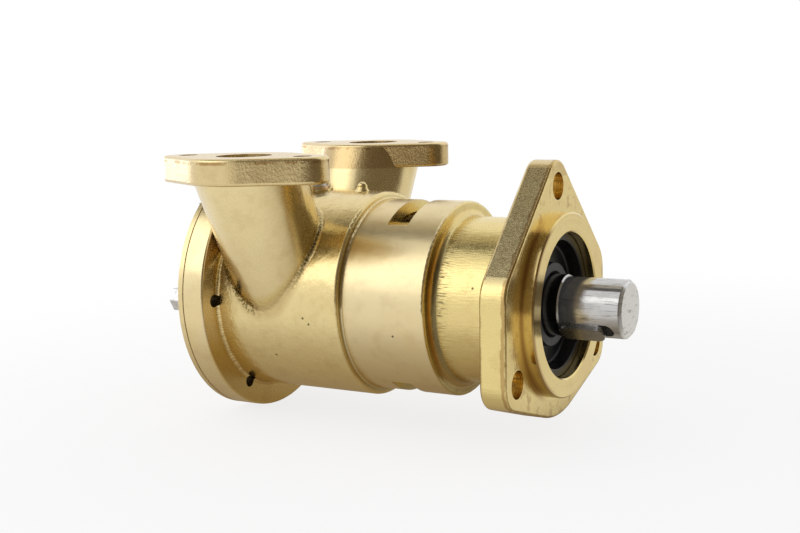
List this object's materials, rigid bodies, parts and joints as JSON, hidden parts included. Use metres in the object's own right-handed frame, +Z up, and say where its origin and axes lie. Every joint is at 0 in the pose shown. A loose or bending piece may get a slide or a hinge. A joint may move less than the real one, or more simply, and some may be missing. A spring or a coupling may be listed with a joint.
{
  "type": "raw water pump",
  "caption": "Flexible-impeller sea water pump: stepped bronze barrel, three-lobed engine flange with register, keyed shaft, two leaning necks with two-bolt port flanges.",
  "frame": {"origin": "centre of the engine flange's machined face, on the shaft axis", "axes": "+X along the shaft out of the drive end, +Z up towards the port faces, +Y to the outlet side"},
  "size_m": [0.163, 0.134, 0.1029],
  "materials": {
    "cast_bronze": "tumbled cast bronze, machined on its faces",
    "cover_brass": "turned",
    "inner_brass": "machined",
    "screw_steel": "stainless, as supplied",
    "shaft_steel": "ground stainless",
    "key_steel": "drawn key steel",
    "bearing_steel": "ground bearing steel",
    "cage_steel": "pressed sheet",
    "spring_steel": "spring steel",
    "washer_copper": "soft copper",
    "seal_rubber": "moulded black rubber",
    "seal_lip": "moulded grey rubber",
    "impeller_rubber": "moulded rubber",
    "gasket_paper": "oiled gasket paper",
    "ceramic": "lapped ceramic",
    "carbon": "lapped carbon"
  },
  "bodies": {
    "housing": {"pump_body": "cast_bronze", "end_cover": "cover_brass", "cover_gasket": "gasket_paper", "cover_screws": "screw_steel", "wear_plate": "inner_brass", "cam": "inner_brass", "cam_screw": "screw_steel", "cam_washer": "washer_copper", "front_outer_race": "bearing_steel", "rear_outer_race": "bearing_steel", "race_spacer": "bearing_steel", "bearing_circlip": "spring_steel", "oil_seal_case": "seal_rubber", "oil_seal_lip": "seal_lip", "garter_spring": "spring_steel", "inner_lip_seal": "seal_rubber", "ceramic_seat": "ceramic", "seat_cup": "seal_rubber"},
    "rotor": {"shaft": "shaft_steel", "drive_key": "key_steel", "impeller": "impeller_rubber", "impeller_insert": "inner_brass", "impeller_key": "key_steel", "front_inner_race": "bearing_steel", "rear_inner_race": "bearing_steel", "shaft_circlip": "spring_steel", "slinger": "seal_rubber", "carbon_face": "carbon", "seal_bellows": "seal_rubber", "seal_spring": "spring_steel"},
    "front_ball_set": {"front_balls": "bearing_steel", "front_cage": "cage_steel"},
    "rear_ball_set": {"rear_balls": "bearing_steel", "rear_cage": "cage_steel"}
  },
  "joints": [
    {"name": "shaft_spin", "type": "hinge", "parent": "housing", "child": "rotor", "pos_m": [0, 0, 0], "axis": [1, 0, 0], "continuous": true, "deforming": ["impeller"]},
    {"name": "front_balls_orbit", "type": "hinge", "parent": "housing", "child": "front_ball_set", "pos_m": [-0.0163, 0, 0], "axis": [1, 0, 0], "continuous": true},
    {"name": "rear_balls_orbit", "type": "hinge", "parent": "housing", "child": "rear_ball_set", "pos_m": [-0.0343, 0, 0], "axis": [1, 0, 0], "continuous": true}
  ],
  "couplings": [
    {"joint": "front_balls_orbit", "follows": "shaft_spin", "ratio": 0.3982},
    {"joint": "rear_balls_orbit", "follows": "shaft_spin", "ratio": 0.3982}
  ]
}
